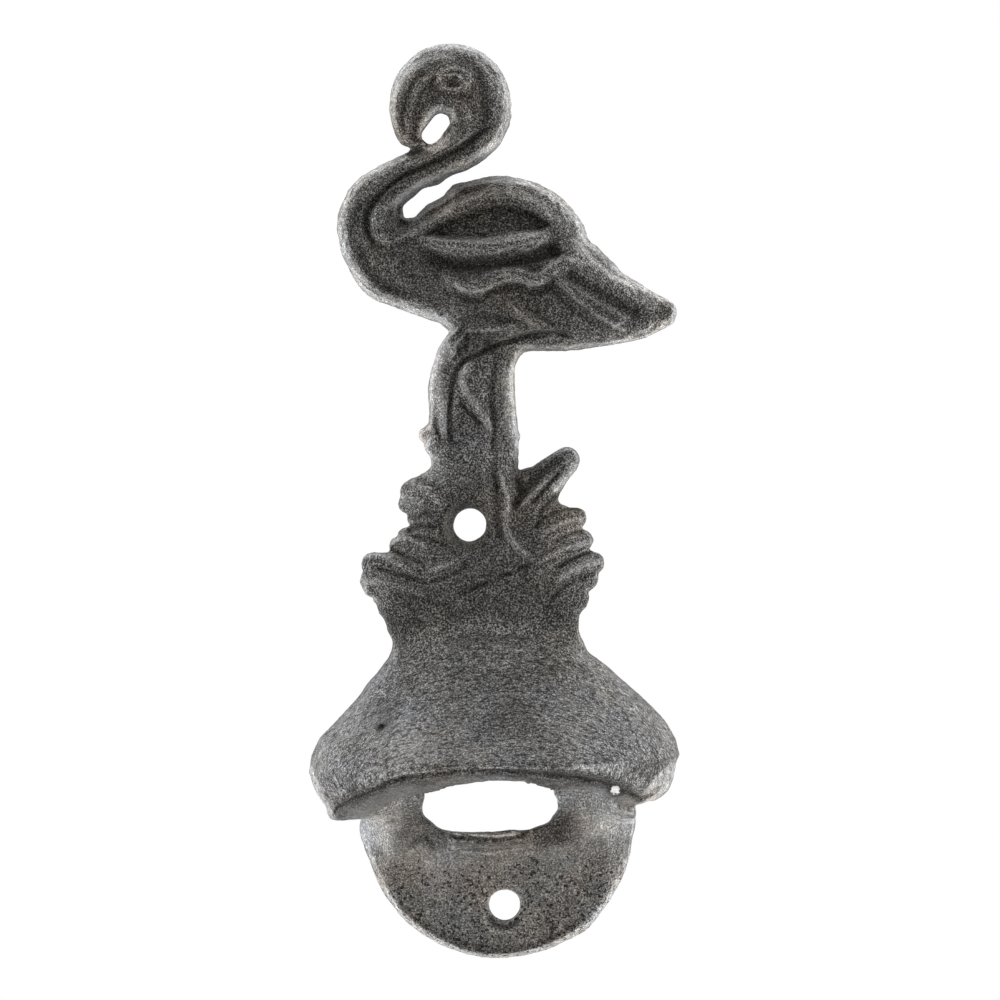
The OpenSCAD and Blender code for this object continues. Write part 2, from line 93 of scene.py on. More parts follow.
WING_LINES = [
    ([(18.7, 55), (21.2, 51.3), (24.6, 48), (30.2, 44), (35.6, 41.2)], 1.7, 0, 0.22),
    ([(-10, 55.2), (-5.5, 58.2), (-0.7, 60.7), (4.2, 62.2), (9, 61.8), (12.8, 60), (15.5, 57.3)], 1.7, 0.6, 0.15),
    ([(-9.3, 57.3), (-5, 60), (-0.7, 62.4), (2.7, 63.8)], 1.2, -0.35, -0.47),
    ([(-8.2, 53.7), (-4.4, 53), (0.3, 52.5), (4.9, 52.8), (9.6, 53.7), (13.7, 54.7)], 1.7, 0.85, 0.35),
    ([(-9.4, 53.3), (-6.6, 52.1), (-2.9, 51.2), (1.8, 51), (5.6, 51.5), (8.1, 52.3), (10.3, 51.9),
      (12.1, 52.2), (13.5, 53.6)], 0.6, 0.25, 0.45),
    ([(-8.4, 50.7), (-3.1, 49.4), (3.4, 49.2), (9.6, 49.9), (14.3, 51.7), (16.4, 52.5)], 2.2, -0.7, -0.81),
    ([(15, 52.3), (16.9, 50.3)], 1.5, -0.63, -0.66),
    ([(-3.8, 46.2), (-1.6, 45.3), (0.9, 45.2), (3.1, 45.6), (4.6, 46.7), (6.8, 47.5), (9.3, 47.3),
      (11.8, 46.6), (13.7, 47), (15.6, 48.4), (17.1, 49.4), (19, 49.4), (20.5, 48.2)], 1.8, 0.9, 0.38),
    ([(-3.5, 45.6), (-0.7, 44.2), (1.8, 44.1), (4.3, 45), (6.8, 46.1), (9.3, 45.8), (12.1, 45.2),
      (14.3, 45.8)], 0.6, 0.25, 0.45),
    ([(-22.2, 62.2), (-22.9, 56.5), (-22.6, 50.8), (-20.3, 45.2), (-16.9, 41.5), (-11.2, 39.1)], 2.4, 0, 0.12),
    ([(-12.7, 40), (-7.5, 39.5), (-4.4, 38.6)], 1.8, 0, 0.3),
    ([(18.1, 52.3), (22, 49.9), (27, 46.3), (32.1, 43.4), (36.4, 41.5)], 2.6, 0.2, 0.4),
    ([(32.1, 37.4), (36.4, 38.6), (38.8, 39.8)], 1.2, 0.1, 0.3),
    ([(-2.1, 43.1), (1.8, 42.4), (5.1, 44.3), (9, 45.1), (11.6, 43.9), (14.5, 44.6),
      (16.2, 45.8)], 1.1, -0.56, -0.57),
    ([(17.2, 47.5), (20.5, 45.8), (24.9, 43.1), (28.7, 41), (32.6, 39.3)], 1.7, -0.7, -0.66),
    ([(16, 46.8), (19.1, 43.6), (22.4, 41), (25.8, 38.8), (28.9, 37.1)], 0.8, 0.6, 0.35),
    ([(15.5, 44.6), (18.1, 41.7), (21.5, 39.3), (24.9, 37.4)], 0.8, -0.28, -0.33),
    ([(7.5, 41.9), (9.9, 39.8), (13.3, 37.4), (16.2, 35.4)], 1.6, 0.4, 0.12),
    ([(9.9, 41.5), (12.8, 39.3), (16.7, 37.1)], 0.9, -0.28, -0.28),
    ([(-2.1, 38.8), (2.7, 39.3), (8, 38.8)], 1.2, -0.35, -0.47),
    ([(-1.6, 37), (3.7, 37.1), (9, 37.9)], 0.9, 0.4, 0.25),
    ([(-1.1, 30.9), (1.8, 32.5), (6.1, 34.4), (10.4, 35.7), (15.7, 36.3), (19.1, 35.9)], 0.9, -0.84, -0.95),
    ([(-18, 47), (-13.6, 44.6), (-8.8, 43.1), (-4, 41.2)], 1.8, -0.21, -0.33),
]
LEG_LINES = [
    ([(0.2, 32), (-2.2, 29.7), (-3.2, 26.8), (-3.5, 24.1), (-4, 20.7), (-3.9, 17.2),
      (-3.4, 14.9)], 0.7, -0.63, -0.76),
    ([(0.2, 30.5), (-1.2, 28), (-0.8, 25.3), (1.1, 22.8), (2.8, 20.3), (3.9, 17.4)], 1.1, 0.7, 0.34),
    ([(-2, 23.4), (-0.6, 21.6), (0.9, 20.3), (2.1, 18.7)], 0.6, -0.42, -0.66),
    ([(5, 30.3), (4.2, 26.4), (4.2, 22.2), (4.5, 18.3), (4.2, 13.7)], 0.9, -0.49, -0.55),
    ([(-2.9, 21.8), (-2.7, 18.7), (-2.2, 15.3)], 0.8, 0.3, 0.17),
    ([(-6.7, 19.9), (-5.8, 16.8), (-5.6, 14.9)], 0.6, -0.28, -0.55),
    ([(4.2, 12.2), (4.9, 8.5), (5.1, 4.2), (5.4, 0.1), (6.2, -3)], 1, -0.49, -0.93),
    ([(5, 11), (6.5, 7), (7.2, 3.5), (7, -0.5), (8.3, -3.4), (10.7, -5.7), (12.9, -6.6)], 1, 0.7, 0.4),
    ([(2.5, 12.2), (2.9, 7.6), (3.8, 2.9)], 0.8, 0.35, 0.17),
    ([(-4.9, 34.5), (-6, 32.2), (-6.4, 29.1), (-6.1, 25.3), (-5.2, 21), (-4.3, 16)], 1.8, 0.3, 0.69),
    ([(7.3, 30.7), (7.1, 25.3), (7.3, 20.7), (7.9, 16)], 1.5, 0.3, 0.34),
]
GRASS_LINES = [
    ([(8.2, 2.9), (10, 6), (12.7, 9.1), (15.8, 11.6), (17.7, 13.2)], 1.1, -0.728, -0.64),
    ([(9.4, 3.3), (10.7, 4.9), (13.6, 7.8), (14.8, 8.9)], 0.55, 0.52, 0.47),
    ([(11.5, 3.6), (13.4, 6), (15.6, 8.5), (17.3, 10.3)], 0.6, -0.455, -0.58),
    ([(9, 9.1), (9.6, 6)], 1.4, -0.546, -0.77),
    ([(-7.6, -9.2), (-4.5, -7.5), (-1.4, -5.9), (0.9, -4.6)], 1, 0.52, 0.14),
    ([(-7.6, -10.7), (-3.7, -9.4), (0.1, -7.1)], 0.8, -0.455, -0.45),
    ([(-2.9, -12.9), (0.1, -12), (3.7, -10.6)], 0.7, -0.637, -1.15),
    ([(5.2, -9.7), (8.1, -8.9)], 0.65, -0.455, -1.03),
    ([(8.8, -8.2), (11.5, -7.3)], 0.65, -0.455, -1.03),
    ([(-6.4, -14.4), (0.1, -11.8), (6.3, -8.8), (12.5, -6.3)], 0.9, 0.39, 0.14),
    ([(-15.1, -4.3), (-13.7, -5), (-12.3, -5.8)], 0.65, -0.546, -1.09),
    ([(-12.3, -5.8), (-9.3, -7.1), (-7.9, -9)], 0.6, -0.364, -0.32),
    ([(-18, -8), (-14.5, -9), (-11, -9.8), (-7.9, -10.9)], 0.7, -0.455, -0.51),
    ([(-11.8, -1.1), (-9.1, 0), (-6, -0.3)], 0.9, -0.637, -0.77),
    ([(-14.9, -3.2), (-11.8, -2.5), (-7.9, -4)], 0.9, 0.65, 0.34),
    ([(-20.1, -5.9), (-16.8, -5.9), (-13.3, -7.5), (-9.9, -9)], 0.9, 0.65, 0.34),
    ([(-19.5, -10.6), (-15.7, -10.9), (-11.8, -12.1), (-7.9, -13.2)], 1, 0.52, 0.27),
    ([(-13.3, 5.4), (-11, 4.7), (-8.3, 4.1)], 1.8, 0.52, 0.27),
    ([(-12.2, 1.5), (-9.9, 1.6), (-7.2, 2.7)], 0.8, -0.546, -0.64),
    ([(23.1, -5), (20.6, -5.8), (18.1, -7.1), (16.3, -8)], 0.65, -0.637, -1.03),
    ([(21.7, -1.1), (18.7, -1.7), (15.6, -3.2)], 0.7, -0.455, -0.38),
    ([(21.2, 2.9), (17.9, 2.9), (14, 1.4), (12.1, -0.9)], 0.7, -0.455, -0.64),
    ([(21.7, 1), (18.7, 0.8), (15.2, -0.7), (12.9, -2.8)], 0.9, 0.65, 0.27),
    ([(23.3, -3.2), (19.8, -3.8), (16, -5.2), (13.3, -7.1)], 0.9, 0.65, 0.27),
    ([(25.2, -6.9), (21.7, -7.5), (18.3, -9), (15.6, -10.9)], 1, 0.65, 0.34),
    ([(-0.7, 4.1), (-3, 2.9), (-3.9, 0.6), (-3.7, -1.7), (-2.2, -3.2)], 1, -0.273, 0.14),
    ([(-2.2, 5.2), (-4.9, 2.6), (-5.5, 0.2), (-5, -2.4), (-3.1, -4.5)], 0.55, -0.182, -0.58),
    ([(15.2, 6), (16.6, 7.5), (18.5, 9.6), (20, 12)], 1.3, 0.26, 0.68),
    ([(-11.4, 8.3), (-8.3, 6.4), (-5.6, 4.1)], 1.2, 0.39, 0.14),
    ([(-9.9, 9.1), (-6.4, 7.2), (-3.7, 4.5)], 0.8, -0.273, -0.19),
    ([(-11.4, -2.1), (-7.9, -2.5), (-4.9, -4), (-1.8, -5.9)], 0.7, -0.364, -0.32),
    ([(-15.7, -5.5), (-11.8, -7.1), (-7.9, -8.2), (-3.7, -7.1)], 0.9, 0.52, 0.16),
    ([(-14.9, -12.9), (-11, -13.6), (-7.2, -14.4), (-2.9, -15.2)], 0.8, -0.273, -0.45),
    ([(19.8, 6.8), (17.1, 6), (14.4, 4.1), (12.5, 1)], 0.7, -0.455, -0.64),
    ([(23.3, -9), (19.8, -10.2), (17.1, -12.1), (14.8, -14.4)], 0.8, -0.364, -0.58),
]
# Along the slot's lower edge, a painted light line on its upward-facing bevel with painted shade under it, and
# painted light on the tooth's ends
PLATE_LINES = [
    ([(-2.8, -58.9), (-3, -61.5)], 0.7, 0.5, 0.2),
    ([(10.2, -58.3), (11.8, -60.9)], 0.7, 0.5, 0.2),
    ([(-2.1, -61.7), (3.7, -62), (9.4, -61.2)], 0.5, 0.3, 0.17),
    ([(-6.9, -56.7), (-3, -57.8), (1.9, -58.2), (6.7, -58.2), (9.9, -57.5)], 0.7, 0.2, 1),
    ([(-3.5, -58.7), (1.9, -59.2), (6.7, -59.2), (10.6, -58.5)], 0.55, -0.28, -0.98),
    ([(11.4, -63), (13.4, -63.7)], 0.6, -0.28, -0.39),
    ([(13.8, -60.1), (18.3, -59.5)], 1.4, -0.21, -0.33),
    ([(-11.2, -60.6), (-8.8, -58.9), (-6.4, -61.1)], 0.9, -0.14, -0.26),
    ([(3.4, -73.8), (4.9, -75.5), (7.5, -75.9), (9.7, -74)], 0.7, -0.49, -0.59),
    ([(-5, -79), (0.8, -80.4), (6.6, -80.8), (11.4, -79.9), (18.1, -77.4)], 0.6, -0.07, -0.39),
]
DRAWN_LINES = HEAD_LINES + NECK_LINES + WING_LINES + LEG_LINES + GRASS_LINES + PLATE_LINES
# A line fades over this share of its length at each end, down to this share of its strength
LINE_FADE, LINE_END = 0.12, 0.25

# The wing's sunk lens and the sunk panel under its bar: outline, depth and the painted shade in them
LENS = [
    (-9.4, 54.6), (-5.5, 57.4), (-1.1, 59.4), (3.7, 60.6), (8.5, 60.6), (13.1, 59.1), (15.5, 56.7), (13.1, 55),
    (9, 54.7), (4.6, 54), (0.8, 53.5), (-3.5, 53.5), (-7.9, 54),
]
LENS_DEPTH, LENS_SHADE = 1.3, 0.45
PANEL = [
    (-8, 52), (-5.2, 50.9), (2.5, 50), (8.8, 51), (13.6, 53.2), (16.4, 53.3), (17.6, 51.2), (15, 49.4),
    (10.9, 49.2), (6.7, 48.4), (2.5, 48), (-1.7, 48.1), (-5.9, 49.5),
]
PANEL_DEPTH, PANEL_SHADE = 0.7, 0.6
# The see-through gap between bill and neck, whose rim is rounded back: its rim, middle and reach,
# how far the rounding goes, and how deep the iron is beside it
GAP_RIM = [
    (-8.9, 72.6), (-8.4, 74.6), (-6.6, 76.9), (-4.6, 77.4), (-3.8, 76.1), (-4.4, 74.4), (-6.2, 72.3),
    (-7.6, 71.8),
]
GAP_MIDDLE = (-6.3, 74.6)
GAP_REACH = 6
GAP_ROUND = 2.2
GAP_DEPTH = 8.4
# The bird's eye: its middle, how much wider than tall it is, and the dimple's place in it
EYE = (-3.0, 83.9)
EYE_OVAL = 1.3
EYE_DIMPLE = (0.2, 0.3)
# The plain ground's sunk field, filled up level with the roots of the grass, but not round the upper hole
GROUND_FIELD = [(-9.2, -13.6), (14.8, -13.6), (14.8, 4.6), (9, 4.6), (9, 11.5), (-9.2, 11.5)]
GROUND_FILL = 1.0
HOLE_RING = (4.8, 7.5)
# The sunk web between the legs, filled up nearly level with them
LEG_FIELD = [(-5.6, 11), (-6, 20), (-5.4, 28), (-2, 33), (5, 34), (7, 31), (7, 20), (7, 11)]
WEB_LEVEL = -6.1
# Bands of grass, legs and bird whose forms run into one another: the heights where the softening starts,
# is full, fades and ends, and its rounds
MELT_BANDS = [(-23, -20, 10, 13, 190), (9, 12, 30, 34, 90), (30, 34, 98, 99, 30)]
DEPTH_ONLY = (1,)
OUTLINE_ONLY = (0, 2)
# Where the ground meets the hood, and the hood's middle
SHOULDER_Z = -21
HOOD_X = 3.6
# Middle and radius of the lower plate's round end, and its thickness
PLATE = (5.5, -56.6)
PLATE_R = 25.6
PLATE_T = 5
# The plate's flanks beside the slot, from its middle: inner edge, top, foot, bow in degrees; and their back
FLANK_IN, FLANK_TOP, FLANK_FOOT = 22, 2.6, -6.3
FLANK_BOW = np.arange(0, 15, 2)
FLANK_BACK = 1
# The plate's drawn-back front edge: width and start above the wall at the foot, and the change to the flanks
EDGE_WIDTH, EDGE_WIDER = 1.7, 4.4
EDGE_START, EDGE_LOWER = 2.4, 1.7
# Inner corners that the mould's sand rounded off: x, z, reach
CORNERS = [
    (8.9, 9.6, 2.6), (8.4, 32.4, 2.6), (15.6, 4.3, 2.8), (-8.9, 10.2, 2.4), (-12.7, 71.6, 2.3),
    (-10.8, 70.8, 1.8),
]
# Where the poured outline wanders from the drawn one, in this order: x, z, reach, and the move in x and z
NUDGES = [
    (-27.5, -50, 5.5, -0.8, -0.4), (36.5, -48.5, 5, 0.9, -0.5), (9.2, 32, 2.6, 0.5, -0.6),
    (9.8, 10.2, 2.4, 0.3, 0.8), (16.6, 4.4, 2.6, 0.7, 0.5), (-8.4, 16.4, 4, -0.6, 0), (-7.7, 26, 5.5, -0.45, 0),
    (8.6, 20, 8, 0.3, 0), (-5.6, 62.4, 3.5, 0.3, -0.7), (4, 67, 6, 0, 0.35), (22.6, 54.2, 3, -0.6, -0.5),
    (26.5, 49.6, 3.2, 0.4, 0.4), (-14.6, -21.6, 4, -0.6, 0), (-16.5, -17.2, 2.6, -0.5, 0),
    (-25.7, -36.8, 5, 0.4, -0.4), (-20.2, -57.4, 3.6, -1.0, 0), (31, -56.3, 4, 0.5, 0),
    (22.2, -76.2, 6, 0.35, -0.35), (-25, -54.5, 3, -1.0, -0.6), (32.5, -51.2, 3, 0, 0.5),
    (-4.4, 32.9, 2.2, 0.9, 0), (-8, 63.6, 3.5, -0.25, 0.5), (-3, 65, 3.5, -0.1, 0.4),
    (-22.5, -33, 5, 0.4, -0.4), (23, -24, 4, -0.4, -0.4), (12.5, -57.5, 3, -0.2, 0.6), (-8.4, -51.4, 2, 0.5, 0),
    (16.2, -50.4, 2, -0.8, 0), (16.4, -54, 1.6, 0.3, 0), (-8.1, -54.4, 2, -0.4, -0.2),
    (-3.6, -57, 2.4, 0, 0.35), (8, -57, 4, 0, 0.4), (34.8, -51.2, 3, -0.3, 0.4), (30.6, -52.4, 1.8, -0.5, 0.3),
    (-19.6, -60.6, 3.5, -0.5, 0), (-18.9, -13, 2.2, -0.2, -0.5), (-17.4, -15.6, 1.6, 0.5, 0),
    (-4, 32.9, 1.8, 0.7, 0), (-8.2, 14.4, 2, -0.6, 0),
]
# The skin's unevenness: size and height of the swells and of the grit, the grit's extra height above the hood,
# where the grit's noise is read, and how far the skin lies back
SWELL_SIZE, SWELL_HEIGHT = 4, 0.18
GRIT_SIZE, GRIT_HEIGHT, GRIT_EXTRA = 1.1, 0.1, 0.05
GRIT_PLACE = Vector((31, 7, 3))
SKIN_BACK = 0.06
# Edges where the hood's face turns into its end walls
LEFT_END_Z, LEFT_END_X = [-54.6, -51, -46.2, -44], [-25.2, -27.3, -29.3, -30.6]
RIGHT_END_Z, RIGHT_END_X = [-51.1, -46.6, -43.3], [31.6, 35.1, 38.8]
# How far the rim's lip hangs down over the slot, along x
LIP_X = [-13, -7.5, -2.7, 3.8, 9.4, 12.2, 15, 17, 22]
LIP_DROP = [0.3, 0.9, 0.45, 0.25, 0.4, 0.9, 1.6, 1.6, 0.3]
# The upper edge of the band along the hood's rim, the depths between which the band starts,
# and the groove along it: place under the edge, width, depth and the painted shade in it
RIM_X = [-25.6, -24.7, -22, -19, -16.6, -14.8, -10.9, -5.5, -2, 6, 13.1, 16.1, 19.1, 22.1, 24.2, 29.3, 31.7]
RIM_Z = [
    -54.4, -52.8, -51.2, -49.8, -48.6, -47.6, -46.5, -45.9, -45.3, -45.3, -45.9, -46.3, -46.6, -47.2, -47.5,
    -49.6, -51,
]
RIM_DEPTHS = (10, 13)
RIM_GROOVE = (0.1, 0.5)
RIM_GROOVE_DEPTH, RIM_GROOVE_SHADE = 0.7, 1.6
# A gas pit on the hood, its depth and the painted shade in it, the calm skin round it (x, z, radius, strength), and
# a bare chip on the rim
PIT = (-16.4, -37.7)
PIT_DEPTH, PIT_SHADE = 0.8, 1.5
CALM_SKIN = [(-16.4, -36.5, 2.4, 1)]
CHIP = (27.2, -49.4)
CHIP_REACH = 1.35
# Warm brown stains (above 0) and cool ones (below 0): x, z, radius, strength
STAINS = [
    (-12, -57, 6, 0.8), (18.5, -56.5, 4, 0.8), (-2, -63.5, 12, 0.8), (14, -66, 10, 0.6), (-16.5, -34.8, 5, -1),
    (-15.4, 59.5, 2, 1), (10, 22, 3, 0.7), (13, -9, 3, 0.5), (27, -40, 8, -0.6), (4, -34, 12, -0.8),
    (-22, -40, 8, -1), (24, -64, 7, 0.3), (-22, 57, 6, -0.8), (-21, -60, 5, -1.3), (-8.5, 25, 4, -0.8),
    (-15, 55, 6, -0.4), (-9, 42, 8, -0.5), (-14, 37, 6, -0.8), (-20, 44, 6, -0.8), (28, 34, 6, -0.5),
    (24, 48, 5, -0.7), (36, -40, 5, -0.9),
]
# Places made paler by rubbing and by painted light, as on the cheeks under the hood (above 0), and darker by soot
# and by painted shade, as where the bill meets the neck (below 0): x, z, radius, strength
RUBBED_AND_LIT = [
    # head and neck
    (-3.5, 90, 5, 0.35), (-2.7, 80.5, 3, -0.2), (-2.8, 79.2, 3, -0.35), (-7, 76, 3, -0.2),
    (-2.5, 75.5, 2.5, -0.4), (-14.1, 73.6, 2.5, -0.2), (2.9, 73.6, 3, 0.35), (-14, 73.5, 2.5, -0.5),
    (-9.9, 71.4, 1.6, -0.9), (-2, 69.5, 5, -0.25), (-8.4, 67.9, 3, -0.35), (2.9, 67.9, 2.5, -0.3),
    (-17, 67.5, 3.5, 0.35), (-9, 66, 2.5, 0.3), (3.5, 65.4, 3, 0.3), (2.9, 62.2, 3, -0.2), (-4, 61.8, 3, 0.35),
    # body and wing
    (-2.8, 56.6, 4, 0.12), (8.5, 50.9, 3.5, -0.2), (0, 50.5, 6, -0.15), (25.5, 50.5, 3, -0.3),
    (-7.5, 49.4, 2.5, -0.3), (11, 45.5, 4, -0.2), (17, 45.3, 4, -0.2), (-3.7, 45, 8, -0.2),
    (-8.4, 39.6, 3, 0.2), (33, 39.5, 3.5, 0.25), (-15, 38, 5, 0.25), (30, 35, 5, 0.1), (14.2, 34.2, 4, -0.4),
    (5, 34, 7, -0.2), (23, 34, 4, -0.2),
    # legs
    (-4, 33, 2.2, 0.5), (-5, 32.5, 3, 0.3), (-8.4, 28.3, 3, -0.3), (6, 28.3, 3, 0.2), (-2.5, 20, 5, -0.25),
    (3, 19, 3, -0.15), (-8.1, 17.4, 1.6, 0.1), (-2.7, 17, 3, -0.25), (-9, 12, 3, 0.4),
    # ground and grass
    (-7, 11, 3, 0.25), (-9.5, 6, 3, 0.2), (-14, 0, 3, 0.2), (-4, 0, 2, 0.25), (19.8, -1, 3.5, 0.3),
    (-19, -5.5, 3, 0.25), (-5, -5.6, 5, 0.15), (20.5, -7, 4, 0.2), (21, -9, 4, 0.2), (-19.5, -11.3, 3, 0.3),
    (-19, -14, 3, 0.3), (20, -17.5, 3, -0.2), (-14, -19.5, 4, -0.45),
    # hood, rim and slot
    (14, -24, 5, -0.12), (-11, -28, 5, -0.15), (-16.5, -34.8, 3.6, -0.3), (7.6, -36, 6, -0.25),
    (3, -39, 3, -0.15), (20, -39.5, 7, 0.3), (-12, -40.5, 7, 0.4), (4, -43, 7, 0.25), (36.5, -43, 4, -0.15),
    (17, -44.2, 4, -0.15), (25, -44.6, 3, -0.15), (-25.2, -50.4, 3.5, 0.15), (18.5, -50.5, 2.6, 0.4),
    (31, -50.5, 3, 0.3), (24, -51, 3, 0.4), (-13, -52, 3, 0.25), (-8, -53.5, 3, -0.2), (20, -56, 3, -0.3),
    (24.6, -56, 3.2, 0.8),
    # lower plate
    (3, -56.3, 3.5, -0.7), (-8, -56.5, 3, -0.3), (-5, -56.5, 4, -0.35), (8, -56.8, 5, -0.2),
    (-19.5, -57, 3, 0.55), (12, -57, 4, -0.2), (17, -57, 2.4, -0.9), (-17.8, -57.8, 2.8, 0.7),
    (-11.5, -58, 3, -0.2), (30, -58, 3, 0.25), (13.5, -58.4, 2.2, -0.6), (25, -61.5, 4, -0.3),
    (-20, -62, 2, 0.1), (-20, -68, 5, -0.2), (-6, -68, 5, 0.2), (-12, -74, 5, -0.25),
]
# How pale the front faces are at each height: partly the iron's tone, partly painted light and shade, paler round
# the slot in the hood's shade and darker on the bird's flat faces
PALE_Z = [-82, -68, -61, -52, -45, -41, -32, -22, -19, 5, 14, 20, 29, 35, 60, 91]
PALE_AND_LIT = [0.25, 0.3, 0.65, 0.6, 0.8, 0.75, 0.35, 0.25, -0.35, -0.15, 0.2, 0.25, 0.15, -0.45, -0.5, -0.3]

# The iron's colours; what they are multiplied by for soot and painted shade, and for rubbing and painted light; and
# the chip's colour, near white as a painted glint on the bare metal
COOL_IRON, PLAIN_IRON, BROWN_IRON = (0.096, 0.0945, 0.095), (0.1, 0.096, 0.0905), (0.117, 0.103, 0.089)
SOOT_AND_SHADE, RUB_AND_LIGHT, RUB_AND_HIGHLIGHT = (0.36, 0.35, 0.335), (2.05, 2.1, 2.15), (4.5, 4.65, 4.85)
BARE_CHIP_AND_GLINT = (0.85, 0.85, 0.83, 1)
# The grains of the finish, by their noise scale in the metre frame
SAND, STREAK, PITTING, CLOUD, PATCH = 3200, 1000, 1700, 230, 80
# Heights of the sand and of the small pits in the finish, in metres
SAND_HEIGHT, PITTING_HEIGHT = 0.0005, 0.0004

# The studio, in metres and watts: the light from all round, and each softbox's name, place and power
WHITE = (1, 1, 1, 1)
ROUND_LIGHT = 0.44
SOFTBOX_SIZE = 0.3
SOFTBOXES = [
    ("left_softbox", (-0.55, -0.03, -0.05), 4.1),
    ("right_softbox", (0.55, -0.03, -0.05), 3.8),
    ("top_softbox", (0, -0.03, 0.6), 3.1),
]
FLOOR_RADIUS, FLOOR_LEVEL = 0.35, -0.2
FLOOR_COLOUR, FLOOR_ROUGHNESS = (0.85, 0.85, 0.85, 1), 0.9
# The camera looks square at the front: its distance, the width that it sees there, and its sensor in mm
CAMERA_X, CAMERA_Z = 5.7 * MM, 4.75 * MM
CAMERA_AWAY = 1.0
SEEN_WIDTH = 0.19
SENSOR = 36


def spline(points, step=0.35):
    """A smooth line through given points, as a row of close points."""
    p = np.array(points, float)
    p = np.vstack([2 * p[0] - p[1], p, 2 * p[-1] - p[-2]])
    row = []
    for a, b, c, d in zip(p, p[1:], p[2:], p[3:]):
        n = max(2, int(np.linalg.norm(c - b) / step))
        for t in np.arange(n) / n:
            square = 2 * a - 5 * b + 4 * c - d
            cube = 3 * b - a - 3 * c + d
            row.append(0.5 * (2 * b + (c - a) * t + square * t**2 + cube * t**3))
    row.append(p[-2])
    return np.array(row)


def ease(low, high, value):
    """0 below low, 1 above high, and a smooth step between."""
    t = np.clip((value - low) / (high - low), 0, 1)
    return t * t * (3 - 2 * t)


def band(start, full, fade, end, value):
    """0 outside start and end, 1 between full and fade."""
    return ease(start, full, value) * (1 - ease(fade, end, value))


def ridge(middle, width, value):
    """1 at the middle, falling off smoothly to both sides."""
    return np.exp(-((value - middle) / width) ** 2)


def reach_from(flat, spot):
    """Distance from a spot, seen from the front."""
    return np.hypot(flat[:, 0] - spot[0], flat[:, 1] - spot[1])


def from_eye(flat):
    """Distance from the eye's middle, measured on its oval."""
    return np.hypot((flat[:, 0] - EYE[0]) / EYE_OVAL, flat[:, 1] - EYE[1])


def under_rim(co):
    """How far each point is below the upper edge of the hood's rim."""
    return np.interp(co[:, 0], RIM_X, RIM_Z) - co[:, 2]


def spots(flat, marks):
    """Soft round marks, added up."""
    total = np.zeros(len(flat))
    for x, z, radius, strength in marks:
        total += strength * np.exp(-((flat[:, 0] - x) ** 2 + (flat[:, 1] - z) ** 2) / radius**2)
    return total


def line_share(flat, points, half_width):
    """1 on a drawn line, 0 at its half width, tapered over its ends."""
    row = spline(points)
    low, high = row.min(0) - half_width, row.max(0) + half_width
    near = np.nonzero(((flat > low) & (flat < high)).all(1))[0]
    share = np.zeros(len(flat))
    if len(near):
        gaps = np.linalg.norm(flat[near, None, :] - row[None, :, :], axis=2)
        nearest = gaps.argmin(1)
        gap = np.clip(gaps[np.arange(len(near)), nearest] / half_width, 0, 1)
        along = nearest / (len(row) - 1)
        taper = np.minimum(1, np.minimum(along, 1 - along) / LINE_FADE + LINE_END)
        share[near] = taper * (1 - gap**2) ** 2
    return share


def patch_share(flat, outline, soft):
    """1 inside a closed outline, eased in over a soft border."""
    edge = spline(outline + outline[:1])
    inside = np.zeros(len(flat), bool)
    for (x0, z0), (x1, z1) in zip(edge, edge[1:]):
        crosses = (z0 > flat[:, 1]) != (z1 > flat[:, 1])
        with np.errstate(divide="ignore", invalid="ignore"):
            at = x0 + (flat[:, 1] - z0) * (x1 - x0) / (z1 - z0)
        inside ^= crosses & (flat[:, 0] < at)
    share = np.zeros(len(flat))
    found = np.nonzero(inside)[0]
    gap = np.linalg.norm(flat[found, None, :] - edge[None, :, :], axis=2).min(1)
    share[found] = ease(0, soft, gap)
    return share


def fused_casting():
    """All the solids fused into one closed skin, with the hard meetings softened as in a sand mould."""
    bm = bmesh.new()
    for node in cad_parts.values():
        bm.from_mesh(node.data)
    bmesh.ops.remove_doubles(bm, verts=bm.verts, dist=SAME_POINT)
    bow = [(PLATE_R * math.cos(a), -PLATE_R * math.sin(a)) for a in np.radians(FLANK_BOW)]
    flank = [(FLANK_IN, FLANK_TOP), (PLATE_R, FLANK_TOP), *bow, (FLANK_IN, FLANK_FOOT)]
    for side in (-1, 1):
        points = [Vector((PLATE[0] + side * x, -FLANK_BACK, PLATE[1] + z)) * MM for x, z in flank]
        foot = bm.faces.new([bm.verts.new(p) for p in points])
        top = bmesh.ops.extrude_face_region(bm, geom=[foot])["geom"]
        raised = [v for v in top if isinstance(v, bmesh.types.BMVert)]
        bmesh.ops.translate(bm, verts=raised, vec=(0, (FLANK_BACK - PLATE_T) * MM, 0))
    bmesh.ops.recalc_face_normals(bm, faces=bm.faces)
    mesh = bpy.data.meshes.new("casting")
    bm.to_mesh(mesh)
    bm.free()
    casting = bpy.data.objects.new("casting", mesh)
    bpy.context.scene.collection.objects.link(casting)
    skin = casting.modifiers.new("skin", "REMESH")
    skin.mode = "VOXEL"
    skin.voxel_size = SKIN_STEP * MM
    soften = casting.modifiers.new("soften", "SMOOTH")
    soften.factor = 0.5
    soften.iterations = 5
    apply_modifiers(casting)
    return casting


def apply_modifiers(piece):
    """Puts what the modifiers make into the piece's own mesh."""
    bpy.context.view_layer.update()
    made = bpy.data.meshes.new_from_object(piece.evaluated_get(bpy.context.evaluated_depsgraph_get()))
    piece.modifiers.clear()
    old, piece.data = piece.data, made
    bpy.data.meshes.remove(old)


def points_of(mesh):
    """Places of the mesh's points in millimetres."""
    values = np.empty(len(mesh.vertices) * 3)
    mesh.vertices.foreach_get("co", values)
    return values.reshape(-1, 3) / MM


def normals_of(mesh):
    """Directions in which the mesh's points face."""
    values = np.empty(len(mesh.vertices) * 3)
    mesh.vertex_normals.foreach_get("vector", values)
    return values.reshape(-1, 3)


